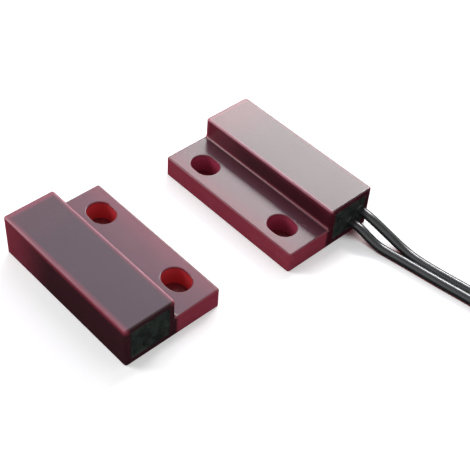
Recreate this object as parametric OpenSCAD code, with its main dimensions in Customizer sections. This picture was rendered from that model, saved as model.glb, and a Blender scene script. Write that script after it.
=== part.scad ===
// Surface-mount magnetic door contact: a potted reed sensor with two flying leads,
// and the magnet unit that faces it. Millimetres, +Z up. The origin is on the mounting
// plane, midway between the sensor's two screw slots. +X runs along both units towards
// the wire end, and +Y runs across them, away from the magnet unit.

/* [Housings] */
// Length of each housing
housing_len = 23; // [22:0.5:32]
// Width of each housing, flange and block together
housing_w = 14; // [13.5:0.5:20]
// Height of the block
block_h = 5.9; // [5.6:0.1:9]
// Width of the block
block_w = 7.2; // [7.2:0.1:9]
// Thickness of the mounting flange
flange_t = 2.9; // [1.5:0.1:4]
// Radius of the upright corners
corner_r = 0.3; // [0.2:0.1:1.2]
// Radius of the fillet between flange and block
fillet_r = 0.4; // [0.1:0.1:0.8]

/* [Pocket] */
// Thickness of the pocket's two side walls
side_wall = 0.8; // [0.6:0.05:0.85]
// Thickness of the pocket's roof
roof_wall = 0.7; // [0.5:0.05:0.8]
// Thickness of the pocket's floor
floor_wall = 0.7; // [0.5:0.05:0.8]
// Thickness of the blind end wall
end_wall = 1.4; // [0.8:0.1:1.8]
// Depth of the potting's face inside the pocket's mouth
potting_recess = 0.15; // [0.05:0.05:0.4]

/* [Screw slots] */
// Distance between the two slots' centres
slot_spacing = 14.3; // [12:0.1:16]
// Width of each slot
slot_w = 3.2; // [2.4:0.1:3.8]
// End-to-end length of each slot
slot_len = 4; // [3.9:0.1:5]
// Distance from the flange's edge to the slots' centre line
slot_inset = 2.9; // [2.6:0.1:3.4]

/* [Reed switch] */
// Length of the glass capsule
glass_len = 14; // [12:0.5:14]
// Diameter of the glass capsule
glass_d = 2.2; // [2:0.1:2.4]
// Wall of the glass tube
glass_wall = 0.35; // [0.25:0.05:0.4]
// Length of solid glass at each end
seal_len = 1.4; // [1:0.1:2]
// Diameter of the reed leads
lead_d = 0.5; // [0.4:0.05:0.55]
// Length of lead outside the glass at each end
lead_out = 1.9; // [1.7:0.1:2.1]
// Width of each reed blade
blade_w = 1; // [0.7:0.1:1]
// Thickness of each reed blade
blade_t = 0.2; // [0.12:0.02:0.24]
// Length over which the two blades lie face to face
blade_overlap = 1.2; // [0.8:0.1:2]
// Gap between the open contacts
contact_gap = 0.16; // [0.16:0.02:0.24]

/* [Leads] */
// Diameter of the insulated leads
wire_d = 1.2; // [1.1:0.05:1.2]
// Diameter of the stranded conductors
conductor_d = 0.6; // [0.5:0.05:0.6]
// Length of tinned conductor at the free end of each lead
tinned_len = 5; // [3:0.5:8]

/* [Magnet] */
// Diameter of the rod magnet
magnet_d = 4; // [3:0.1:4.1]
// Length of the rod magnet
magnet_len = 19; // [14:0.5:19]

/* [Pair] */
// Gap between the two flanges' edges
pair_gap = 10; // [8:0.5:20]
// How far the magnet unit lies from the sensor's middle, along X
magnet_offset = -1.5; // [-3:0.5:3]

/* [Hidden] */
$fn = 64;

// Clearance between a potted piece and the potting around it
fit = 0.02;
// Extra length that makes a cut run past a face
past = 1;

// Housing and pocket, in the sensor's frame
half_len = housing_len / 2;
flange_edge_y = -slot_inset;
block_back_y = housing_w - slot_inset;
block_front_y = block_back_y - block_w;
block_mid_y = block_back_y - block_w / 2;
pocket_w = block_w - 2 * side_wall;
pocket_h = block_h - floor_wall - roof_wall;
pocket_back_x = -half_len + end_wall;
pocket_len = half_len - pocket_back_x;
potting_face_x = half_len - potting_recess;

// Reed switch: it lies along X near the pocket's floor, its far end at the blind wall
reed_end_gap = 0.3;
reed_y = block_mid_y;
reed_z = floor_wall + 1.6;
lead_far_x = pocket_back_x + reed_end_gap;
glass_far_x = lead_far_x + lead_out;
glass_near_x = glass_far_x + glass_len;
lead_near_x = glass_near_x + lead_out;
glass_r = glass_d / 2;
cavity_r = glass_r - glass_wall;
cavity_len = glass_len - 2 * seal_len;
blade_root_gap = 0.05;
blade_len = (cavity_len + blade_overlap) / 2 - blade_root_gap;
blade_far_x = glass_far_x + seal_len + blade_root_gap;
blade_near_x = glass_near_x - seal_len - blade_root_gap;

// Lead exits on the potting's face: lead a is the front one, lead b the one at the back
exit_a = [block_mid_y + 0.5, floor_wall + 1.2];
exit_b = [block_mid_y + 2.1, floor_wall + 2.2];
tail_a_x = lead_near_x + 1;
bare_a_x = glass_near_x + 0.8;
crossing_x = lead_far_x + 0.5;
bend_r = 0.9;
tail_b_x = crossing_x + bend_r + 1;
bead_near_r = 0.85;
bead_near_x = glass_near_x + 1.2;
bead_far_r = 0.72;
// Turns each bead so that no wire leaves it through the sphere's seam
bead_turn = 225;

// Routes of the leads: x from the block's end face, y from the block's middle, z up
route_a = [
    [0, 0.5, 1.9], [0.9, 0.5, 1.9], [1.9, 0.55, 1.75], [2.9, 0.6, 1.4], [3.9, 0.75, 1],
    [4.9, 0.95, 0.7], [6.2, 1.2, 0.6], [8, 1.5, 0.6], [10, 1.8, 0.6], [12, 2.1, 0.6],
    [14, 2.4, 0.6], [16, 2.75, 0.6], [18, 3.05, 0.6], [20, 3.3, 0.6], [22, 3.45, 0.65],
    [24, 3.5, 0.75]
];
route_b = [
    [0, 2.1, 2.9], [0.9, 2.1, 2.9], [1.9, 2.15, 2.75], [2.9, 2.3, 2.4], [3.9, 2.5, 1.95],
    [4.9, 2.7, 1.5], [5.9, 2.85, 1.1], [7, 2.95, 0.8], [8.3, 3, 0.62], [10, 3.1, 0.6],
    [12, 3.35, 0.6], [14, 3.65, 0.6], [16, 4, 0.6], [18, 4.3, 0.6], [20, 4.55, 0.6],
    [22, 4.7, 0.65]
];
// Where each lead leaves the coil, drops to the surface and ends
tail_route_a = [
    [25.2, 25.45, 1.5], [24.2, 25.3, 0.95], [23.2, 25.1, 0.65], [22.2, 24.9, 0.6],
    [21.6, 24.78, 0.6]
];
tail_route_b = [
    [39.4, 9.85, 1.5], [40.3, 11, 0.95], [40.75, 12.2, 0.65], [41.1, 13.4, 0.6]
];
// The spare length lies in one flat coil: two layers of turns, lead beside lead
coil_x = 28.5;
coil_y = 14.5;
coil_in_r = 2.5;
coil_out_r = 11.6;
coil_h = 2.45;
tie_t = 0.3;
tie_w = 2.2;
tie_angle = -60;
// The tie is straight, so its inner side clears the coil's round hole at the band's edges
tie_in_r = sqrt(coil_in_r * coil_in_r - tie_w * tie_w / 4) - fit;
tie_out_r = coil_out_r + fit;
tie_twist_d = 1;
tie_twist_len = 5;

// Magnet unit: a mirror image of the sensor's housing, its flange facing the sensor's
magnet_y = -(2 * slot_inset + pair_gap);
magnet_x0 = pocket_back_x + 0.5;
magnet_z = floor_wall + pocket_h / 2;

housing_colour = [0.36, 0.1, 0.14];
potting_colour = [0.1, 0.12, 0.11];
wire_colour = [0.07, 0.07, 0.08];
metal_colour = [0.75, 0.75, 0.73];

// ---------- shared shapes ----------

// A rectangle whose four corners are arcs, centred on the origin
module rounded_rect(length, width, radius) {
    square([length - 2 * radius, width], center = true);
    square([length, width - 2 * radius], center = true);
    for (x = [-1, 1], y = [-1, 1])
        translate([x * (length / 2 - radius), y * (width / 2 - radius)])
            circle(radius);
}

// A slot with round ends that runs along X, centred on the origin
module slot(length, width) {
    square([length - width, width], center = true);
    for (x = [-1, 1])
        translate([x * (length - width) / 2, 0])
            circle(width / 2);
}

// A rod along X, from x0 to x1
module rod_x(x0, x1, y, z, diameter) {
    translate([x0, y, z])
        rotate([0, 90, 0])
            cylinder(h = x1 - x0, d = diameter);
}

// The concave fillet along the foot of the block's front face
module foot_fillet() {
    translate([-half_len + corner_r, block_front_y, flange_t])
        rotate([90, 0, 90])
            linear_extrude(housing_len - 2 * corner_r)
                difference() {
                    translate([-fillet_r, 0])
                        square(fillet_r);
                    translate([-fillet_r, fillet_r])
                        circle(fillet_r);
                }
}

// Flange, block, pocket and slots of one unit
module housing() {
    difference() {
        union() {
            translate([0, flange_edge_y + housing_w / 2, 0])
                linear_extrude(flange_t)
                    rounded_rect(housing_len, housing_w, corner_r);
            translate([0, block_mid_y, 0])
                linear_extrude(block_h)
                    rounded_rect(housing_len, block_w, corner_r);
            foot_fillet();
        }
        translate([pocket_back_x, block_mid_y - pocket_w / 2, floor_wall])
            cube([pocket_len + past, pocket_w, pocket_h]);
        for (x = [-1, 1])
            translate([x * slot_spacing / 2, 0, -past])
                linear_extrude(flange_t + 2 * past)
                    slot(slot_len, slot_w);
    }
}

// The block of resin that fills a pocket
module pocket_fill() {
    translate([pocket_back_x, block_mid_y - pocket_w / 2, floor_wall])
        cube([potting_face_x - pocket_back_x, pocket_w, pocket_h]);
}

// Places the magnet unit opposite the sensor
module magnet_unit() {
    translate([magnet_offset, magnet_y, 0])
        mirror([0, 1, 0])
            children();
}

// The rod magnet, grown all round by a clearance
module magnet_rod(grow = 0) {
    rod_x(magnet_x0 - grow, magnet_x0 + magnet_len + grow, block_mid_y, magnet_z,
          magnet_d + 2 * grow);
}

// The outside of the glass, grown all round by a clearance
module glass_outside(grow = 0) {
    radius = glass_r + grow;
    rod_x(glass_far_x + glass_r, glass_near_x - glass_r, reed_y, reed_z, 2 * radius);
    for (x = [glass_far_x + glass_r, glass_near_x - glass_r])
        translate([x, reed_y, reed_z])
            sphere(radius);
}

// The two leads of the reed switch outside and inside the seals
module lead_far(grow = 0) {
    rod_x(lead_far_x - grow, glass_far_x + seal_len, reed_y, reed_z, lead_d + 2 * grow);
}

module lead_near(grow = 0) {
    rod_x(glass_near_x - seal_len, lead_near_x + grow, reed_y, reed_z, lead_d + 2 * grow);
}

// The bare strands of lead a, straight under the near reed lead
module bare_a(grow = 0) {
    rod_x(bare_a_x - grow, tail_a_x, exit_a[0], exit_a[1], conductor_d + 2 * grow);
}

// The last stretch of lead b's bare strands, which crosses over the far reed lead
module crossing_b(grow = 0) {
    translate([crossing_x, exit_b[0] - bend_r, exit_b[1]])
        rotate([90, 0, 0])
            cylinder(h = exit_b[0] - bend_r - reed_y + 0.2 + grow, d = conductor_d + 2 * grow);
}

// The bare strands of lead b: along the pocket, a bend, then across the far reed lead
module bare_b(grow = 0) {
    diameter = conductor_d + 2 * grow;
    rod_x(crossing_x + bend_r, tail_b_x, exit_b[0], exit_b[1], diameter);
    translate([crossing_x + bend_r, exit_b[0] - bend_r, exit_b[1]])
        rotate([0, 0, 90])
            rotate_extrude(angle = 90)
                translate([bend_r, 0])
                    circle(d = diameter);
    crossing_b(grow);
}

// The insulated ends of the leads inside the potting
module tail_a(grow = 0, extra = 0) {
    rod_x(tail_a_x - grow, potting_face_x + extra, exit_a[0], exit_a[1], wire_d + 2 * grow);
}

module tail_b(grow = 0, extra = 0) {
    rod_x(tail_b_x - grow, potting_face_x + extra, exit_b[0], exit_b[1], wire_d + 2 * grow);
}

// The solder beads
module bead_near(grow = 0) {
    translate([bead_near_x, (reed_y + exit_a[0]) / 2, (reed_z + exit_a[1]) / 2])
        rotate([0, 0, bead_turn])
            sphere(bead_near_r + grow);
}

module bead_far(grow = 0) {
    translate([crossing_x, reed_y, (reed_z + exit_b[1]) / 2])
        rotate([0, 0, bead_turn])
            sphere(bead_far_r + grow);
}

// ---------- free leads ----------

// Places the leads' frame: x from the end face, y from the block's middle
module lead_frame() {
    translate([half_len, block_mid_y, 0])
        children();
}

function unit(v) = v / norm(v);
function heading(route, i) =
    unit(route[min(i + 1, len(route) - 1)] - route[max(i - 1, 0)]);
function ring(centre, along, radius, sides) =
    let (across = unit(cross([0, 0, 1], along)), up = cross(along, across))
    [for (k = [0 : sides - 1])
        centre + radius * (cos(360 * k / sides) * across + sin(360 * k / sides) * up)];
function tube_points(route, radius, sides) =
    [for (i = [0 : len(route) - 1]) each ring(route[i], heading(route, i), radius, sides)];
function tube_faces(rings, sides) = concat(
    [[for (k = [0 : sides - 1]) k]],
    [for (i = [0 : rings - 2], k = [0 : sides - 1])
        [i * sides + k, (i + 1) * sides + k,
         (i + 1) * sides + (k + 1) % sides, i * sides + (k + 1) % sides]],
    [[for (k = [sides - 1 : -1 : 0]) (rings - 1) * sides + k]]
);

// A tube with eight sides, swept along a route
module tube(route) {
    sides = 8;
    polyhedron(points = tube_points(route, wire_d / 2, sides),
               faces = tube_faces(len(route), sides), convexity = 4);
}

// The same route with its start moved back onto the potting's face
function from_potting(route) =
    [for (i = [0 : len(route) - 1]) i == 0 ? route[0] - [potting_recess, 0, 0] : route[i]];

// The tinned strands that stick out of a lead's free end
module tinned_tip(route) {
    last = len(route) - 1;
    along = unit(route[last] - route[last - 1]);
    translate(route[last])
        rotate([0, 0, atan2(along[1], along[0])])
            rotate([0, 90, 0])
                cylinder(h = tinned_len, d = conductor_d);
}

// ---------- sensor ----------

module sensor_housing() {
    color(housing_colour) housing();
}

module sensor_potting() {
    color(potting_colour)
        difference() {
            pocket_fill();
            glass_outside(fit);
            lead_far(fit);
            lead_near(fit);
            bare_a(fit);
            bare_b(fit);
            tail_a(fit, past);
            tail_b(fit, past);
            bead_near(fit);
            bead_far(fit);
        }
}

module reed_capsule() {
    color([0.55, 0.75, 0.6, 0.5])
        difference() {
            glass_outside();
            rod_x(glass_far_x + seal_len, glass_near_x - seal_len, reed_y, reed_z, 2 * cavity_r);
            rod_x(glass_far_x - past, glass_near_x + past, reed_y, reed_z, lead_d + 2 * fit);
        }
}

module reed_lead_far() {
    color(metal_colour) lead_far();
}

module reed_lead_near() {
    color(metal_colour) lead_near();
}

module reed_blade_far() {
    color([0.85, 0.84, 0.8])
        translate([blade_far_x, reed_y + contact_gap / 2, reed_z - blade_w / 2])
            cube([blade_len, blade_t, blade_w]);
}

module reed_blade_near() {
    color([0.8, 0.8, 0.78])
        translate([blade_near_x - blade_len, reed_y - contact_gap / 2 - blade_t,
                   reed_z - blade_w / 2])
            cube([blade_len, blade_t, blade_w]);
}

module solder_far() {
    color([0.7, 0.7, 0.72])
        difference() {
            bead_far();
            lead_far();
            crossing_b();
        }
}

module solder_near() {
    color([0.7, 0.7, 0.72])
        difference() {
            bead_near();
            lead_near();
            bare_a();
        }
}

module conductor_a() {
    color([0.8, 0.5, 0.3]) bare_a();
}

module conductor_b() {
    color([0.8, 0.5, 0.3]) bare_b();
}

module wire_tail_a() {
    color(wire_colour) tail_a();
}

module wire_tail_b() {
    color(wire_colour) tail_b();
}

// ---------- leads ----------

module lead_wire_a() {
    color(wire_colour)
        lead_frame() {
            tube(from_potting(route_a));
            tube(tail_route_a);
        }
}

module lead_wire_b() {
    color(wire_colour)
        lead_frame() {
            tube(from_potting(route_b));
            tube(tail_route_b);
        }
}

module lead_coil() {
    color(wire_colour)
        lead_frame()
            translate([coil_x, coil_y, tie_t])
                rotate_extrude()
                    translate([coil_in_r, 0])
                        square([coil_out_r - coil_in_r, coil_h]);
}

module coil_tie() {
    inside_w = tie_out_r - tie_in_r;
    inside_h = coil_h + fit;
    color([0.15, 0.15, 0.16])
        lead_frame()
            translate([coil_x, coil_y, 0])
                rotate([0, 0, tie_angle]) {
                    translate([(tie_in_r + tie_out_r) / 2, tie_w / 2, tie_t + inside_h / 2])
                        rotate([90, 0, 0])
                            linear_extrude(tie_w)
                                difference() {
                                    square([inside_w + 2 * tie_t, inside_h + 2 * tie_t],
                                           center = true);
                                    square([inside_w, inside_h], center = true);
                                }
                    rod_x(tie_out_r + tie_t / 2, tie_out_r + tie_t + tie_twist_len,
                          0, tie_t + coil_h / 2, tie_twist_d);
                }
}

module tinned_end_a() {
    color(metal_colour) lead_frame() tinned_tip(tail_route_a);
}

module tinned_end_b() {
    color(metal_colour) lead_frame() tinned_tip(tail_route_b);
}

// ---------- magnet unit ----------

module magnet_housing() {
    color(housing_colour) magnet_unit() housing();
}

module rod_magnet() {
    color([0.5, 0.5, 0.52]) magnet_unit() magnet_rod();
}

module magnet_potting() {
    color(potting_colour)
        magnet_unit()
            difference() {
                pocket_fill();
                magnet_rod(fit);
            }
}

sensor_housing();
sensor_potting();
reed_capsule();
reed_lead_far();
reed_lead_near();
reed_blade_far();
reed_blade_near();
solder_far();
solder_near();
conductor_a();
conductor_b();
wire_tail_a();
wire_tail_b();
lead_wire_a();
lead_wire_b();
lead_coil();
coil_tie();
tinned_end_a();
tinned_end_b();
magnet_housing();
rod_magnet();
magnet_potting();
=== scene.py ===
import math

import bmesh
import bpy
from mathutils import Matrix, Vector, noise


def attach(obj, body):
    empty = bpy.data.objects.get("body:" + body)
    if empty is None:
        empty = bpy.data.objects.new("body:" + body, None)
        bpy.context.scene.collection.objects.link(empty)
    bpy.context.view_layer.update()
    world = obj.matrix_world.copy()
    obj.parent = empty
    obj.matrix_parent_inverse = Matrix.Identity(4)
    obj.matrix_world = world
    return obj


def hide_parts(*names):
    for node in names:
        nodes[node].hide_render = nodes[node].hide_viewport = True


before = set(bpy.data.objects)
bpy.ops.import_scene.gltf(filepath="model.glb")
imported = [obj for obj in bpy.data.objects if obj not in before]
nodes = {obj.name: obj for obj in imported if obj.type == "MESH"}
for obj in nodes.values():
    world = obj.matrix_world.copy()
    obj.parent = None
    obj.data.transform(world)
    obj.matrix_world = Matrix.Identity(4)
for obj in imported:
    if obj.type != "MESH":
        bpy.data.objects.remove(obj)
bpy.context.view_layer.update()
scene = bpy.context.scene
MM = 0.001


# ---------- sizes, in millimetres, in the sensor's own place ----------

LENGTH, WIDTH = 23.0, 14.0
BLOCK_H, BLOCK_W, FLANGE_T = 5.9, 7.2, 2.9
INSET = 2.9  # from the slots' line, which is y = 0, to the flange's edge
SLOT_X, SLOT_W, SLOT_LEN = 7.15, 3.2, 4.0
SIDE_WALL, ROOF, FLOOR, END_WALL = 0.8, 0.7, 0.7, 1.4
RECESS = 0.15
WIRE_D = 1.2
HALF_LEN = LENGTH / 2
BACK_Y = WIDTH - INSET
FOOT_Y = BACK_Y - BLOCK_W
BLOCK_MID_Y = BACK_Y - BLOCK_W / 2
# the magnet unit is mirrored in y and then moved by this much
MAGNET_X, MAGNET_Y = -1.5, -15.8


def on_unit(x, y, unit):
    """A place in the sensor, as the matching place in the unit."""
    if unit == "magnet_unit":
        return x + MAGNET_X, MAGNET_Y - y
    return x, y


# ---------- camera ----------

def make_camera():
    """One camera for both units, which the photograph shows from different heights."""
    elevation, azimuth, roll = (math.radians(a) for a in (45.6, 44.0, 4.7))
    target = Vector((2.7, -3.6, 0)) * MM
    distance = 132.4 * MM
    forward = Vector((-math.sin(azimuth) * math.cos(elevation),
                      math.cos(azimuth) * math.cos(elevation), -math.sin(elevation)))
    across = Vector((math.cos(azimuth), math.sin(azimuth), 0))
    up = across.cross(forward)
    right = math.cos(roll) * across + math.sin(roll) * up
    top = math.cos(roll) * up - math.sin(roll) * across
    data = bpy.data.cameras.new("camera")
    data.sensor_width = 36.0
    data.lens = 80.6
    data.clip_start, data.clip_end = 0.005, 5.0
    camera = bpy.data.objects.new("camera", data)
    camera.matrix_world = (Matrix.Translation(target - distance * forward)
                           @ Matrix((right, top, -forward)).transposed().to_4x4())
    scene.collection.objects.link(camera)
    scene.camera = camera


make_camera()
scene.view_settings.view_transform = "Standard"


# ---------- small helpers ----------

def link(name, data):
    """A new object in the scene."""
    obj = bpy.data.objects.new(name, data)
    scene.collection.objects.link(obj)
    return obj


def mesh_object(name, bm, smooth=True):
    """A new object from a bmesh, with its faces turned outwards."""
    bmesh.ops.recalc_face_normals(bm, faces=bm.faces)
    mesh = bpy.data.meshes.new(name)
    bm.to_mesh(mesh)
    bm.free()
    for polygon in mesh.polygons:
        polygon.use_smooth = smooth
    return link(name, mesh)


def ring(bm, points):
    """New vertices at points in millimetres."""
    return [bm.verts.new((x * MM, y * MM, z * MM)) for x, y, z in points]


def bridge(bm, rings, caps=True):
    """Joins each ring of vertices to the next one, and closes the first and the last."""
    count = len(rings[0])
    for one, two in zip(rings, rings[1:]):
        for k in range(count):
            bm.faces.new((one[k], one[(k + 1) % count], two[(k + 1) % count], two[k]))
    if caps:
        bm.faces.new(rings[0][::-1])
        bm.faces.new(rings[-1])


def quarter(steps, first=0):
    """The cosine and sine of evenly spaced angles from 0 to 90 degrees."""
    angles = [math.radians(90 * k / steps) for k in range(first, steps + 1)]
    return [(math.cos(a), math.sin(a)) for a in angles]


def apply_modifiers(obj):
    """Replaces an object's mesh with what its modifiers make of it."""
    graph = bpy.context.evaluated_depsgraph_get()
    mesh = bpy.data.meshes.new_from_object(obj.evaluated_get(graph))
    obj.modifiers.clear()
    obj.data = mesh


# ---------- leads ----------

# the leads' own frame: x from the housing's end, y from the middle of the block
COIL_X, COIL_Y = 28.5, 14.5
COIL_R = 11.0
PITCH = 1.22
# the turns of both leads on the first layer, and each lead's on the second, which bring it to
# about 300 mm
TURNS_IN, TURNS_OUT_A, TURNS_OUT_B = 2.75, 2.75, 3.4
CLIMB = 0.25
LAYER_1 = 0.9
LAYER_2 = LAYER_1 + PITCH
STEPS_PER_TURN = 24
STEPS_PER_SPAN = 4
# the tinned ends: length, mean radius, half the strands' relief, their number, degrees per mm
TIN_LEN, TIN_R, LOBE, STRANDS, TWIST = 4.9, 0.272, 0.028, 7, 70

# listed: the points of the CAD's routes, and a few more up to the coil's turns
ROUTE_A = [(0, 0.5, 1.9), (0.9, 0.5, 1.9), (1.9, 0.55, 1.75), (2.9, 0.6, 1.4), (3.9, 0.75, 1),
           (4.9, 0.95, 0.7), (6.2, 1.2, 0.6), (8, 1.5, 0.6), (10, 1.8, 0.6), (12, 2.1, 0.6),
           (14, 2.4, 0.6), (16, 2.75, 0.6), (18, 3.05, 0.6), (20, 3.3, 0.6), (22, 3.45, 0.65),
           (24, 3.5, 0.75), (26, 3.5, 0.85)]
ROUTE_B = [(0, 2.1, 2.9), (0.9, 2.1, 2.9), (1.9, 2.15, 2.75), (2.9, 2.3, 2.4), (3.9, 2.5, 1.95),
           (4.9, 2.7, 1.5), (5.9, 2.85, 1.1), (7, 2.95, 0.8), (8.3, 3, 0.62), (10, 3.1, 0.6),
           (12, 3.35, 0.6), (14, 3.65, 0.6), (16, 4, 0.6), (18, 4.3, 0.6), (20, 4.55, 0.6),
           (22, 4.7, 0.65), (24, 4.72, 0.75), (26, 4.72, 0.85)]
TAIL_A = [(27, 25.5, 2), (25.2, 25.45, 1.5), (24.2, 25.3, 0.95), (23.2, 25.1, 0.65),
          (22.2, 24.9, 0.6), (21.6, 24.78, 0.6)]
TAIL_B = [(38.5, 8.85, 1.95), (39.4, 9.85, 1.5), (40.3, 11, 0.95), (40.75, 12.2, 0.65),
          (41.1, 13.4, 0.6)]


def to_row(point):
    """A point of the leads' frame, in millimetres, as a point of the row frame in metres."""
    return Vector((point[0] + HALF_LEN, point[1] + BLOCK_MID_Y, point[2])) * MM


def coil_turns(start_radius, turns_out):
    """A lead's turns: in towards the middle on the first layer, up, and out on the second."""
    points = []
    steps = round(TURNS_IN * STEPS_PER_TURN)
    for i in range(steps + 1):
        t = TURNS_IN * i / steps
        k = min(max((t - (TURNS_IN - CLIMB)) / CLIMB, 0), 1)
        k = k * k * (3 - 2 * k)
        radius = start_radius - 2 * PITCH * t
        angle = math.radians(360 * t - 90)
        points.append((COIL_X + radius * math.cos(angle), COIL_Y + radius * math.sin(angle),
                       LAYER_1 + (LAYER_2 - LAYER_1) * k))
    inner = start_radius - 2 * PITCH * TURNS_IN
    steps = round(turns_out * STEPS_PER_TURN)
    for i in range(1, steps + 1):
        t = turns_out * i / steps
        radius = inner + 2 * PITCH * t
        angle = math.radians(360 * (TURNS_IN + t) - 90)
        points.append((COIL_X + radius * math.cos(angle), COIL_Y + radius * math.sin(angle),
                       LAYER_2))
    return points


def smooth_line(points, per_span):
    """A Catmull-Rom curve through the points, with the same number of steps in each span."""
    points = [Vector(p) for p in points]
    ends = [2 * points[0] - points[1]] + points + [2 * points[-1] - points[-2]]
    line = []
    for i in range(1, len(ends) - 2):
        a, b, c, d = ends[i - 1:i + 3]
        for k in range(per_span):
            t = k / per_span
            line.append(0.5 * (2 * b + (c - a) * t + (2 * a - 5 * b + 4 * c - d) * t * t
                               + (3 * b - a - 3 * c + d) * t ** 3))
    line.append(points[-1])
    return line


def rounded_outline(x0, x1, y0, y1, radius, steps=8):
    """The outline of a rectangle with rounded corners."""
    points = []
    for cx, cy, start in ((x1 - radius, y1 - radius, 0), (x0 + radius, y1 - radius, 90),
                          (x0 + radius, y0 + radius, 180), (x1 - radius, y0 + radius, 270)):
        for k in range(steps + 1):
            a = math.radians(start + 90 * k / steps)
            points.append((cx + radius * math.cos(a), cy + radius * math.sin(a)))
    return points


def tube(name, line, radius, sides=20):
    """A round mesh tube along a line of points, its ends slightly rounded off."""
    bm = bmesh.new()
    rings = []
    across = Vector((0, 1, 0))
    count = len(line)
    for i, centre in enumerate(line):
        along = (line[min(i + 1, count - 1)] - line[max(i - 1, 0)]).normalized()
        across = (across - across.dot(along) * along).normalized()
        up = along.cross(across)
        rounds = ((-0.1, 0.82), (0.0, 1.0)) if i == 0 else ((0.0, 1.0), (0.1, 0.82))
        for shift, share in rounds if i in (0, count - 1) else ((0.0, 1.0),):
            rings.append([bm.verts.new(centre + along * shift * radius + share * radius
                                       * (math.cos(2 * math.pi * k / sides) * across
                                          + math.sin(2 * math.pi * k / sides) * up))
                          for k in range(sides)])
    bridge(bm, rings)
    return mesh_object(name, bm)


def lead(name, route, start_radius, turns_out, tail):
    """One lead as a single tube: from the resin to the coil, round it, and out to its tip."""
    first = (route[0][0] - RECESS, route[0][1], route[0][2])
    straight = smooth_line([first] + route[1:], STEPS_PER_SPAN)
    turns = [Vector(p) for p in coil_turns(start_radius, turns_out)]
    last = smooth_line([turns[-1]] + tail, STEPS_PER_SPAN)[1:]
    # only the points between the route's end and the first turn
    join = smooth_line([route[-2], route[-1], turns[0], turns[1]], STEPS_PER_SPAN)
    join = join[STEPS_PER_SPAN + 1:2 * STEPS_PER_SPAN]
    line = [to_row(p) for p in straight + join + turns + last]
    obj = tube(name, line, WIRE_D / 2 * MM)
    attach(obj, "sensor")
    return obj, line


def strands(name, tail, node):
    """The tinned end of a lead: its strands twisted together and dipped in tin."""
    last, before = Vector(tail[-1]), Vector(tail[-2])
    along = (last - before).normalized()
    across = along.cross(Vector((0, 0, 1))).normalized()
    up = across.cross(along)
    bm = bmesh.new()
    count, sides = 60, 28
    overlap, rounding = 0.05, 0.25
    rings = []
    for i in range(count + 1):
        s = TIN_LEN * i / count
        twist = math.radians(TWIST * s)
        past = s - TIN_LEN + rounding
        swell = 1 if past < 0 else 1 - 0.3 * (past / rounding) ** 2
        loop = []
        for k in range(sides):
            a = 2 * math.pi * k / sides
            radius = TIN_R + LOBE * math.cos(STRANDS * (a - twist))
            offset = swell * radius * (math.cos(a) * across + math.sin(a) * up)
            loop.append(bm.verts.new(to_row(last + along * (s - overlap) + offset)))
        rings.append(loop)
    bridge(bm, rings)
    obj = mesh_object(name, bm)
    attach(obj, "sensor")
    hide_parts(node)
    return obj


lead_a, line_a = lead("lead_a", ROUTE_A, COIL_R, TURNS_OUT_A, TAIL_A)
lead_b, line_b = lead("lead_b", ROUTE_B, COIL_R - PITCH, TURNS_OUT_B, TAIL_B)
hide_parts("lead_wire_a", "lead_coil")
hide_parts("lead_wire_b")
end_a = strands("strands_a", TAIL_A, "tinned_end_a")
end_b = strands("strands_b", TAIL_B, "tinned_end_b")


# ---------- materials ----------

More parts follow.
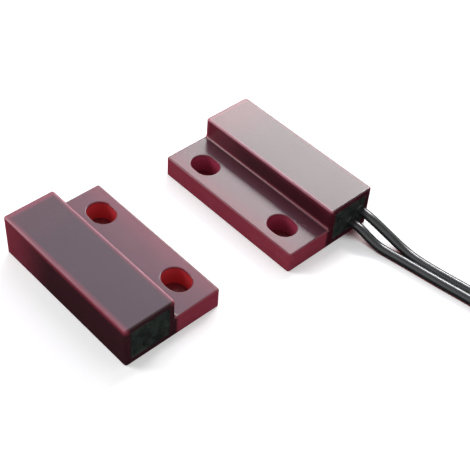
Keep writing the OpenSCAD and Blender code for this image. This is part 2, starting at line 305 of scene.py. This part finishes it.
class Shader:
    """A material under construction: its nodes, and short ways to add and join them."""

    def __init__(self, name):
        self.material = bpy.data.materials.new(name)
        self.material.use_nodes = True
        self.tree = self.material.node_tree
        self.tree.nodes.clear()
        self.output = self.tree.nodes.new("ShaderNodeOutputMaterial")
        self.bsdf = self.tree.nodes.new("ShaderNodeBsdfPrincipled")
        self.join(self.bsdf.outputs[0], self.output.inputs["Surface"])

    def add(self, kind, **settings):
        node = self.tree.nodes.new("ShaderNode" + kind)
        for key, value in settings.items():
            setattr(node, key, value)
        return node

    def join(self, source, target):
        self.tree.links.new(source, target)

    def put(self, socket, value):
        if isinstance(value, (int, float, tuple)):
            socket.default_value = value
        else:
            self.join(value, socket)

    def set(self, **values):
        for key, value in values.items():
            self.put(self.bsdf.inputs[key.replace("_", " ").title().replace("Ior", "IOR")], value)

    def place(self):
        return self.add("TexCoord").outputs["Object"]

    def noise(self, scale, detail=3.0, roughness=0.5, stretch=None):
        node = self.add("TexNoise")
        node.inputs["Scale"].default_value = scale
        node.inputs["Detail"].default_value = detail
        node.inputs["Roughness"].default_value = roughness
        vector = self.place()
        if stretch:
            mapping = self.add("Mapping")
            mapping.inputs["Scale"].default_value = stretch
            self.join(vector, mapping.inputs["Vector"])
            vector = mapping.outputs[0]
        self.join(vector, node.inputs["Vector"])
        return node.outputs["Fac"]

    def math(self, operation, a, b=0.0):
        node = self.add("Math", operation=operation)
        self.put(node.inputs[0], a)
        self.put(node.inputs[1], b)
        return node.outputs[0]

    def product(self, first, *others):
        for other in others:
            first = self.math("MULTIPLY", first, other)
        return first

    def off(self, value, middle):
        """How far a value is from the middle, to either side."""
        return self.math("ABSOLUTE", self.math("SUBTRACT", value, middle))

    def past(self, value, low, high):
        """How far a value lies outside low..high, at least zero."""
        middle, half = (low + high) / 2, (high - low) / 2
        return self.math("MAXIMUM", self.math("SUBTRACT", self.off(value, middle), half), 0.0)

    def hypot(self, *parts):
        """The square root of the sum of the parts' squares."""
        total = self.product(parts[0], parts[0])
        for part in parts[1:]:
            total = self.math("ADD", total, self.product(part, part))
        return self.math("SQRT", total)

    def ramp(self, value, low, high, to_low=0.0, to_high=1.0):
        """Maps low..high smoothly onto to_low..to_high."""
        node = self.add("MapRange", interpolation_type="SMOOTHSTEP")
        self.put(node.inputs["Value"], value)
        for key, number in (("From Min", low), ("From Max", high), ("To Min", to_low),
                            ("To Max", to_high)):
            node.inputs[key].default_value = number
        return node.outputs["Result"]

    def mix(self, share, one, two):
        node = self.add("Mix", data_type="RGBA")
        self.put(node.inputs[0], share)
        self.put(node.inputs[6], one)
        self.put(node.inputs[7], two)
        return node.outputs[2]

    def bump(self, height, distance, strength=1.0):
        node = self.add("Bump")
        node.inputs["Strength"].default_value = strength
        node.inputs["Distance"].default_value = distance
        self.join(height, node.inputs["Height"])
        self.join(node.outputs[0], self.bsdf.inputs["Normal"])


def srgb(red, green, blue):
    """A display colour, 0 to 255, as the linear colour that a shader takes."""
    def linear(c):
        c /= 255
        return c / 12.92 if c <= 0.04045 else ((c + 0.055) / 1.055) ** 2.4
    return (linear(red), linear(green), linear(blue), 1.0)


def housing_material(name, unit, dark_low, dark_high, painted_slot_glow, flange_top_grey, edge, blind_red,
                     top_blind, rough):
    """Maroon moulding. It is thin over the dark potting, and redder where the plastic is thick:
    in the flange, at the blind end and along the edges. The slots' walls are painted a bright
    red, a painted glow for the light that comes through the plastic."""
    s = Shader(name)
    mid_x, slot_y = on_unit(0.0, 0.0, unit)
    block_y, foot_y, rim_y = (on_unit(0.0, y, unit)[1] for y in (BLOCK_MID_Y, FOOT_Y, -INSET))
    out_sign = 1 if block_y > slot_y else -1
    split = s.add("SeparateXYZ")
    s.join(s.place(), split.inputs[0])
    x, y, z = split.outputs
    normal = s.add("SeparateXYZ")
    s.join(s.add("TexCoord").outputs["Normal"], normal.inputs[0])
    facing_up = s.math("ABSOLUTE", normal.outputs[2])
    from_middle = s.off(y, block_y * MM)
    cloud = s.noise(260.0, 3.0, 0.55)
    fine = s.noise(1900.0, 2.0, 0.6)
    body = s.mix(cloud, srgb(*dark_low), srgb(*dark_high))
    rim = s.mix(cloud, srgb(112, 37, 52), srgb(124, 46, 61))
    # how much plastic there is over the dark inside
    depth = s.hypot(s.past(x, (mid_x - HALF_LEN + END_WALL) * MM, (mid_x + HALF_LEN) * MM),
                    s.past(y, (block_y - 3) * MM, (block_y + 3) * MM),
                    s.past(z, -1 * MM, (BLOCK_H - ROOF) * MM))
    thick = s.ramp(depth, 0.64 * MM, 1.2 * MM)
    blind = s.product(s.ramp(x, (mid_x - 11) * MM, (mid_x - 2) * MM, blind_red, 0.0),
                      s.ramp(facing_up, 0.3, 0.8, 1.0, top_blind))
    top_edge = s.product(
        s.ramp(from_middle, (BLOCK_W / 2 - 0.9) * MM, (BLOCK_W / 2 - 0.15) * MM),
        s.ramp(z, (BLOCK_H - 1) * MM, (BLOCK_H - 0.1) * MM, 0.0, edge))
    clear = s.math("MAXIMUM", s.math("MAXIMUM", thick, blind), top_edge)
    base = s.mix(clear, body, rim)
    # painted highlight: the top's edges are painted paler, most of all the one over the flange
    painted_edge_highlight = s.product(
        s.ramp(from_middle, (BLOCK_W / 2 - 0.45) * MM, (BLOCK_W / 2 - 0.15) * MM),
        s.ramp(z, (BLOCK_H - 0.3) * MM, (BLOCK_H - 0.05) * MM),
        s.ramp(y, (block_y - out_sign) * MM, (block_y + out_sign) * MM, 1.0, 0.3),
        s.ramp(cloud, 0.3, 0.7, 0.4, 0.6))
    base = s.mix(painted_edge_highlight, base, srgb(186, 118, 134))
    # painted glow: the slots' walls are painted a bright deep red for the light that comes
    # through the plastic
    slot_dx = s.past(s.off(x, mid_x * MM), (SLOT_X - (SLOT_LEN - SLOT_W) / 2) * MM,
                     (SLOT_X + (SLOT_LEN - SLOT_W) / 2) * MM)
    slot_d = s.hypot(slot_dx, s.math("SUBTRACT", y, slot_y * MM))
    inside = s.product(
        s.ramp(slot_d, (SLOT_W / 2 + 0.02) * MM, (SLOT_W / 2 + 0.2) * MM, 1.0, 0.0),
        s.ramp(z, (FLANGE_T - 0.4) * MM, (FLANGE_T - 0.04) * MM, 1.0, 0.0))
    base = s.mix(inside, base, srgb(*painted_slot_glow))
    # painted highlight: a paler line along the foot of the block, where the fillet catches the
    # light
    foot = s.product(
        s.ramp(s.off(y, (foot_y - out_sign * 0.16) * MM), 0.05 * MM, 0.2 * MM, 1.0, 0.0),
        s.ramp(s.off(z, (FLANGE_T + 0.15) * MM), 0.15 * MM, 0.5 * MM, 1.0, 0.0), 0.45)
    base = s.mix(foot, base, srgb(170, 84, 96))
    # the flange's top is darker and greyer than its edges, most of all away from its outer edge
    flat = s.product(
        s.ramp(z, (FLANGE_T - 0.06) * MM, (FLANGE_T - 0.01) * MM),
        s.ramp(z, (FLANGE_T + 0.03) * MM, (FLANGE_T + 0.2) * MM, 1.0, 0.0),
        s.ramp(facing_up, 0.6, 0.95),
        s.ramp(s.off(y, rim_y * MM), 0.2 * MM, 3 * MM, 0.45 * flange_top_grey, flange_top_grey))
    base = s.mix(flat, base, srgb(66, 40, 50))
    # the walls are duller than the tops, which the mould left glossy
    s.set(coat_weight=s.ramp(facing_up, 0.3, 0.8, 0.04, 0.25), coat_roughness=0.16,
          specular_ior_level=s.ramp(facing_up, 0.3, 0.8, 0.16, 0.5), ior=1.5,
          base_color=base, subsurface_weight=s.math("MULTIPLY", clear, 0.25),
          subsurface_radius=(1.0, 0.2, 0.18), subsurface_scale=0.0012,
          roughness=s.math("ADD", s.math("MULTIPLY", cloud, 0.05), rough - 0.01))
    s.bump(fine, 0.00001, 0.02)
    return s.material


def potting_material(name):
    s = Shader(name)
    cloud = s.noise(700.0, 4.0, 0.6)
    s.set(base_color=s.mix(s.ramp(cloud, 0.35, 0.7), srgb(22, 26, 24), srgb(41, 49, 44)),
          roughness=s.ramp(s.noise(350.0), 0.3, 0.7, 0.2, 0.42), ior=1.53)
    s.bump(cloud, 0.0002, 0.5)
    return s.material


def wire_material(name):
    s = Shader(name)
    streak = s.noise(900.0, 3.0, 0.5)
    s.set(base_color=s.mix(streak, srgb(14, 17, 19), srgb(25, 29, 32)),
          roughness=s.ramp(s.noise(500.0), 0.3, 0.7, 0.24, 0.34), ior=1.52,
          specular_ior_level=1.0, coat_weight=0.4, coat_roughness=0.18)
    s.bump(streak, 0.00004, 0.1)
    return s.material


def metal_material(name, dark, light, low, high, scale=2500.0, stretch=None):
    s = Shader(name)
    grain = s.noise(scale, 4.0, 0.6, stretch)
    s.set(base_color=s.mix(grain, srgb(*dark), srgb(*light)), metallic=1.0,
          roughness=s.ramp(grain, 0.3, 0.7, low, high))
    s.bump(grain, 0.00003, 0.5)
    return s.material


def glass_material(name):
    s = Shader(name)
    cloud = s.noise(500.0)
    s.set(base_color=s.mix(cloud, srgb(196, 226, 200), srgb(214, 238, 216)), ior=1.5,
          transmission_weight=1.0, roughness=s.ramp(cloud, 0.3, 0.7, 0.02, 0.07))
    return s.material


def tie_material(name):
    s = Shader(name)
    grain = s.noise(3000.0, 3.0, 0.6)
    s.set(base_color=s.mix(grain, srgb(26, 27, 29), srgb(48, 50, 53)),
          roughness=s.ramp(grain, 0.3, 0.7, 0.42, 0.6), ior=1.48)
    s.bump(grain, 0.00005, 0.5)
    return s.material


def floor_material(name):
    s = Shader(name)
    cloud = s.noise(9.0, 2.0, 0.5)
    pale = s.mix(cloud, (0.86, 0.86, 0.86, 1), (0.9, 0.9, 0.9, 1))
    # painted shade: where the parts hide the floor, in the slots and under the leads, it is
    # painted dark red and its glow turns off, for the little light that gets down a slot, which
    # the plastic tints
    painted_shade_ao = s.add("AmbientOcclusion")
    painted_shade_ao.samples = 24
    painted_shade_ao.inputs["Distance"].default_value = 0.006
    s.set(base_color=s.mix(s.ramp(painted_shade_ao.outputs["AO"], 0.3, 0.43), srgb(132, 46, 56), pale),
          roughness=0.85, specular_ior_level=0.1, emission_color=(1, 1, 1, 1))
    s.set(emission_strength=s.ramp(painted_shade_ao.outputs["AO"], 0.3, 0.43, 0.0, 0.3))
    return s.material


def dress(obj, material):
    """Gives an object this one material."""
    obj.data.materials.clear()
    obj.data.materials.append(material)


WIRE = wire_material("black_jacket")
TIN = metal_material("tinned_strands", (168, 168, 166), (214, 214, 210), 0.22, 0.4)
POTTING = potting_material("dark_resin")
for wire in (lead_a, lead_b):
    dress(wire, WIRE)
for end in (end_a, end_b):
    dress(end, TIN)


# ---------- tie round the coil ----------

# where the tie lies round the coil, how far in, out and up its band reaches, and its two ends
TIE_ANGLE = math.radians(-60)
TIE_IN, TIE_OUT, TIE_TOP = 2.075, 11.77, 2.92
TWIST_LEN, TWIST_PITCH, TIE_WIRE_R = 4.9, 1.7, 0.2


def tie_point(radial, sideways, height):
    """A point of the tie's own frame: outwards from the coil's middle, sideways and up."""
    cosine, sine = math.cos(TIE_ANGLE), math.sin(TIE_ANGLE)
    return to_row((COIL_X + radial * cosine - sideways * sine,
                   COIL_Y + radial * sine + sideways * cosine, height))


def tie_band():
    """A flat plastic ribbon with a wire along its middle, bent round all the turns."""
    path = rounded_outline(TIE_IN, TIE_OUT, 0.16, TIE_TOP, 0.8, 6)
    section = [(-1.1, 0.0), (-1.02, 0.06), (-0.32, 0.07), (-0.2, 0.13), (0, 0.15), (0.2, 0.13),
               (0.32, 0.07), (1.02, 0.06), (1.1, 0.0), (1.02, -0.06), (0, -0.08), (-1.02, -0.06)]
    bm = bmesh.new()
    rings = []
    for i, (radial, height) in enumerate(path):
        before, after = path[i - 1], path[(i + 1) % len(path)]
        along = Vector((after[0] - before[0], after[1] - before[1])).normalized()
        out = Vector((along.y, -along.x))
        rings.append([bm.verts.new(tie_point(radial + out.x * up, side, height + out.y * up))
                      for side, up in section])
    bridge(bm, rings + rings[:1], caps=False)
    return mesh_object("tie_band", bm)


def tie_twist(number):
    """One of the tie's two ends, twisted round the other and spread a little at the tip."""
    line = []
    steps, middle, spread_len = 60, 1.52, 0.8
    for i in range(steps + 1):
        s = TWIST_LEN * i / steps
        a = math.pi * number + 2 * math.pi * s / TWIST_PITCH
        reach = TIE_WIRE_R + 0.1 * max(0, s - TWIST_LEN + spread_len)
        line.append(tie_point(TIE_OUT + 0.05 + s, reach * math.cos(a),
                              middle + reach * math.sin(a)))
    return tube(f"tie_end_{number + 1}", line, TIE_WIRE_R * MM, 12)


def twist_tie():
    """The band and its two twisted ends as one piece."""
    bm = bmesh.new()
    for part in (tie_band(), tie_twist(0), tie_twist(1)):
        bm.from_mesh(part.data)
        bpy.data.objects.remove(part)
    return mesh_object("twist_tie", bm)


# ---------- housings ----------

CORNER_R, POCKET_R = 0.3, 0.22
EDGE_R = 0.24
FOOT_R = 0.4
FOOT_CHAMFER = 0.06
SLOT_LIP = 0.16
SOFT_EDGE = 0.11
SPARE = 0.5  # how far a cutter sticks out past what it cuts


def edge_prism(name, y0, y1, z1):
    """A block as long as the housing, with round upright corners and a rounded top edge."""
    bm = bmesh.new()
    levels = [(0.0, FOOT_CHAMFER), (FOOT_CHAMFER, 0.0)]
    levels += [(z1 - EDGE_R + EDGE_R * sine, EDGE_R - EDGE_R * cosine)
               for cosine, sine in quarter(5)]
    rings = []
    for z, inset in levels:
        outline = rounded_outline(-HALF_LEN + inset, HALF_LEN - inset, y0 + inset, y1 - inset,
                                  CORNER_R - inset)
        rings.append(ring(bm, [(x, y, z) for x, y in outline]))
    bridge(bm, rings)
    return mesh_object(name, bm, smooth=False)


def slot_outline(middle, length, width, steps=16):
    """The outline of a slot along x: two half circles joined by straight sides."""
    radius = width / 2
    points = []
    for side, start in ((1, -90), (-1, 90)):
        for k in range(steps + 1):
            a = math.radians(start + 180 * k / steps)
            points.append((middle + side * (length / 2 - radius) + radius * math.cos(a),
                           radius * math.sin(a)))
    return points


def slot_cutter(name, middle):
    """A slot-shaped cutter that opens out a little at the flange's top and bottom edges."""
    lip = [(SLOT_LIP * (1 - cosine), SLOT_LIP * (1 - sine)) for cosine, sine in quarter(4, 1)]
    levels = [(-SPARE, SLOT_LIP + SPARE), (0.0, SLOT_LIP)] + lip
    levels += [(FLANGE_T - z, grow) for z, grow in reversed(lip)]
    levels += [(FLANGE_T, SLOT_LIP), (FLANGE_T + SPARE, SLOT_LIP + SPARE)]
    bm = bmesh.new()
    rings = []
    for z, grow in levels:
        outline = slot_outline(middle, SLOT_LEN + 2 * grow, SLOT_W + 2 * grow)
        rings.append(ring(bm, [(x, y, z) for x, y in outline]))
    bridge(bm, rings)
    return mesh_object(name, bm, smooth=False)


def bar(name, x0, x1, profile):
    """A straight bar along x with the given profile of (y, z) points."""
    bm = bmesh.new()
    bridge(bm, [ring(bm, [(x, y, z) for y, z in profile]) for x in (x0, x1)])
    return mesh_object(name, bm, smooth=False)


def foot_strip(name):
    """The concave fillet along the block's foot, let into the block and the flange."""
    sunk, end = 0.2, HALF_LEN - CORNER_R * 0.55
    profile = [(sunk, -sunk), (sunk, FOOT_R)]
    profile += [(-FOOT_R + FOOT_R * cosine, FOOT_R - FOOT_R * sine)
                for cosine, sine in quarter(6)]
    profile += [(-FOOT_R, -sunk)]
    return bar(name, -end, end, [(FOOT_Y + dy, FLANGE_T + dz) for dy, dz in profile])


def combine(obj, other, operation):
    """Joins another solid to an object, or cuts it out, and removes the other."""
    modifier = obj.modifiers.new("combine", "BOOLEAN")
    modifier.operation = operation
    modifier.object = other
    modifier.solver = "EXACT"
    apply_modifiers(obj)
    bpy.data.objects.remove(other)


def build_housing(name):
    """One housing in the sensor's place: flange and block, pocket, slots and fillet."""
    body = edge_prism(name, -INSET, BACK_Y, FLANGE_T)
    combine(body, edge_prism("block", FOOT_Y, BACK_Y, BLOCK_H), "UNION")
    combine(body, foot_strip("strip"), "UNION")
    for x in (-SLOT_X, SLOT_X):
        combine(body, slot_cutter("cutter", x), "DIFFERENCE")
    pocket = rounded_outline(FOOT_Y + SIDE_WALL, BACK_Y - SIDE_WALL, FLOOR, BLOCK_H - ROOF,
                             POCKET_R, 5)
    combine(body, bar("pocket", -HALF_LEN + END_WALL, HALF_LEN + 1, pocket), "DIFFERENCE")
    return body


def finish_housing(body):
    """Softens the edges that are still sharp and shades the whole smoothly."""
    bevel = body.modifiers.new("bevel", "BEVEL")
    bevel.width = SOFT_EDGE * MM
    bevel.segments = 2
    bevel.limit_method = "ANGLE"
    bevel.angle_limit = math.radians(50)
    bevel.harden_normals = False
    bevel.use_clamp_overlap = True
    apply_modifiers(body)
    for polygon in body.data.polygons:
        polygon.use_smooth = True
    body.data.set_sharp_from_angle(angle=math.radians(28))
    weighted = body.modifiers.new("normals", "WEIGHTED_NORMAL")
    weighted.keep_sharp = True
    apply_modifiers(body)


sensor_shell = build_housing("sensor_shell")
magnet_shell = link("magnet_shell", sensor_shell.data.copy())
magnet_shell.data.transform(Matrix.Translation(Vector((MAGNET_X, MAGNET_Y, 0)) * MM)
                            @ Matrix.Scale(-1, 4, (0, 1, 0)))
magnet_shell.data.flip_normals()
finish_housing(sensor_shell)
finish_housing(magnet_shell)
# the slots' bright red in each housing's material is a painted glow
dress(sensor_shell, housing_material(
    "maroon_sensor", "sensor", dark_low=(50, 8, 19), dark_high=(62, 13, 26),
    painted_slot_glow=(160, 58, 84), flange_top_grey=0.75, edge=0.35, blind_red=0.5, top_blind=1.0, rough=0.25))
dress(magnet_shell, housing_material(
    "maroon_magnet", "magnet_unit", dark_low=(40, 18, 23), dark_high=(52, 23, 29),
    painted_slot_glow=(200, 62, 70), flange_top_grey=0.6, edge=0.8, blind_red=0.7, top_blind=0.2, rough=0.2))
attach(sensor_shell, "sensor")
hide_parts("sensor_housing")
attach(magnet_shell, "magnet_unit")
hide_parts("magnet_housing")


RESIN_X = HALF_LEN - RECESS
FACE_LIFT, LOWEST = 0.005, 0.001  # the face's mean and least height over the CAD resin's face


def resin_face(name, unit, wires):
    """The resin's open face: it creeps up the pocket's walls and round the leads."""
    y0, y1 = FOOT_Y + SIDE_WALL, BACK_Y - SIDE_WALL
    z0, z1 = FLOOR, BLOCK_H - ROOF
    columns, rows = 72, 58
    bm = bmesh.new()
    grid = []
    for i in range(columns + 1):
        line = []
        for k in range(rows + 1):
            y = y0 + (y1 - y0) * i / columns
            z = z0 + (z1 - z0) * k / rows
            wall = min(y - y0, y1 - y, z - z0, z1 - z)
            rise = 0.11 * math.exp(-wall / 0.22)
            for wy, wz in wires:
                gap = max(math.hypot(y - wy, z - wz) - WIRE_D / 2, 0)
                rise = max(rise, 0.2 * math.exp(-gap / 0.16))
            sag = noise.noise(Vector((y * 1.3, z * 1.3, len(wires) * 7.0)))
            pit = noise.noise(Vector((y * 5.0, z * 5.0, 3.0 + len(wires))))
            x = RESIN_X + FACE_LIFT + rise + 0.02 * sag + 0.008 * pit
            x, row_y = on_unit(max(x, RESIN_X + LOWEST), y, unit)
            line.append(bm.verts.new(Vector((x, row_y, z)) * MM))
        grid.append(line)
    for i in range(columns):
        for k in range(rows):
            bm.faces.new((grid[i][k], grid[i + 1][k], grid[i + 1][k + 1], grid[i][k + 1]))
    face = mesh_object(name, bm)
    dress(face, POTTING)
    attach(face, unit)


resin_face("resin_sensor", "sensor",
           [(BLOCK_MID_Y + route[0][1], route[0][2]) for route in (ROUTE_A, ROUTE_B)])
resin_face("resin_magnet", "magnet_unit", [])


# ---------- materials of the CAD nodes ----------

GLASS = glass_material("reed_glass")
REED = metal_material("reed_plating", (150, 148, 142), (196, 194, 186), 0.18, 0.34)
SOLDER = metal_material("bright_solder", (150, 150, 150), (206, 206, 204), 0.16, 0.34, 1800.0)
COPPER = metal_material("bare_copper", (150, 84, 48), (214, 138, 92), 0.25, 0.42, 3500.0)
MAGNET = metal_material("ground_alloy", (88, 88, 92), (132, 132, 136), 0.34, 0.5, 1200.0,
                        (1.0, 6.0, 6.0))
for material, names in (
        (POTTING, ("sensor_potting", "magnet_potting")),
        (GLASS, ("reed_capsule",)),
        (REED, ("reed_lead_far", "reed_lead_near", "reed_blade_far", "reed_blade_near")),
        (SOLDER, ("solder_far", "solder_near")),
        (COPPER, ("conductor_a", "conductor_b")),
        (WIRE, ("wire_tail_a", "wire_tail_b")),
        (MAGNET, ("rod_magnet",))):
    for name in names:
        dress(nodes[name], material)
tie = twist_tie()
dress(tie, tie_material("tie_plastic"))
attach(tie, "sensor")
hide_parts("coil_tie")


# ---------- floor and light ----------

def make_floor():
    """A pale floor that curves up into a wall behind the part, as seen by the camera."""
    bm = bmesh.new()
    size, rise = 1.2, 0.25
    rows = [(-size, 0.0)]
    rows += [(size - rise + rise * sine, rise - rise * cosine) for cosine, sine in quarter(14)]
    rows += [(size, size)]
    previous = None
    for y, z in rows:
        pair = (bm.verts.new((-size * 1.5, y, z)), bm.verts.new((size * 1.5, y, z)))
        if previous:
            bm.faces.new((previous[0], previous[1], pair[1], pair[0]))
        previous = pair
    floor = mesh_object("floor", bm)
    floor.matrix_world = (Matrix.Translation((0, 0, -0.00003))
                          @ Matrix.Rotation(math.radians(44), 4, "Z"))
    floor.visible_glossy = False
    dress(floor, floor_material("pale_floor"))


def make_world():
    """A white surrounding that fades to dark below the horizon and dims overhead."""
    world = bpy.data.worlds.new("studio")
    world.use_nodes = True
    tree = world.node_tree
    background = tree.nodes["Background"]
    split = tree.nodes.new("ShaderNodeSeparateXYZ")
    fade = tree.nodes.new("ShaderNodeMapRange")
    fade.inputs["From Min"].default_value = -0.25
    fade.inputs["From Max"].default_value = 0.08
    fade.inputs["To Min"].default_value = 0.03
    dim = tree.nodes.new("ShaderNodeMapRange")
    dim.inputs["From Min"].default_value = 0.5
    dim.inputs["To Min"].default_value = 1.0
    dim.inputs["To Max"].default_value = 0.3
    both = tree.nodes.new("ShaderNodeMath")
    both.operation = "MULTIPLY"
    tree.links.new(tree.nodes.new("ShaderNodeTexCoord").outputs["Generated"], split.inputs[0])
    for number, node in enumerate((fade, dim)):
        tree.links.new(split.outputs[2], node.inputs["Value"])
        tree.links.new(node.outputs["Result"], both.inputs[number])
    tree.links.new(both.outputs[0], background.inputs["Color"])
    background.inputs["Strength"].default_value = 0.75
    scene.world = world


def panel(name, place, size_x, size_y, watts, colour=(1, 1, 1), aim=None):
    """A soft rectangular light. It faces straight down, or towards aim."""
    data = bpy.data.lights.new(name, "AREA")
    data.shape = "RECTANGLE"
    data.size, data.size_y = size_x, size_y
    data.energy = watts
    data.color = colour
    turn = Matrix.Identity(4)
    if aim:
        turn = (Vector(aim) - Vector(place)).to_track_quat("-Z", "Y").to_matrix().to_4x4()
    link(name, data).matrix_world = Matrix.Translation(place) @ turn


make_floor()
make_world()
# three panels hang behind the part, where the camera sees them mirrored: in the sensor's top,
# along the leads and, more dimly, in the magnet unit's top
panel("panel_sensor", (-0.262, 0.3275, 0.306), 0.2, 0.225, 1.05)
panel("panel_leads", (-0.09, 0.31, 0.306), 0.1, 0.12, 1.2)
panel("panel_magnet", (-0.19, 0.115, 0.306), 0.3, 0.15, 0.26, (0.9, 0.8, 1.0))
panel("key", (-0.42, -0.3, 0.3), 0.25, 0.25, 1.7, aim=(0, -0.005, 0))
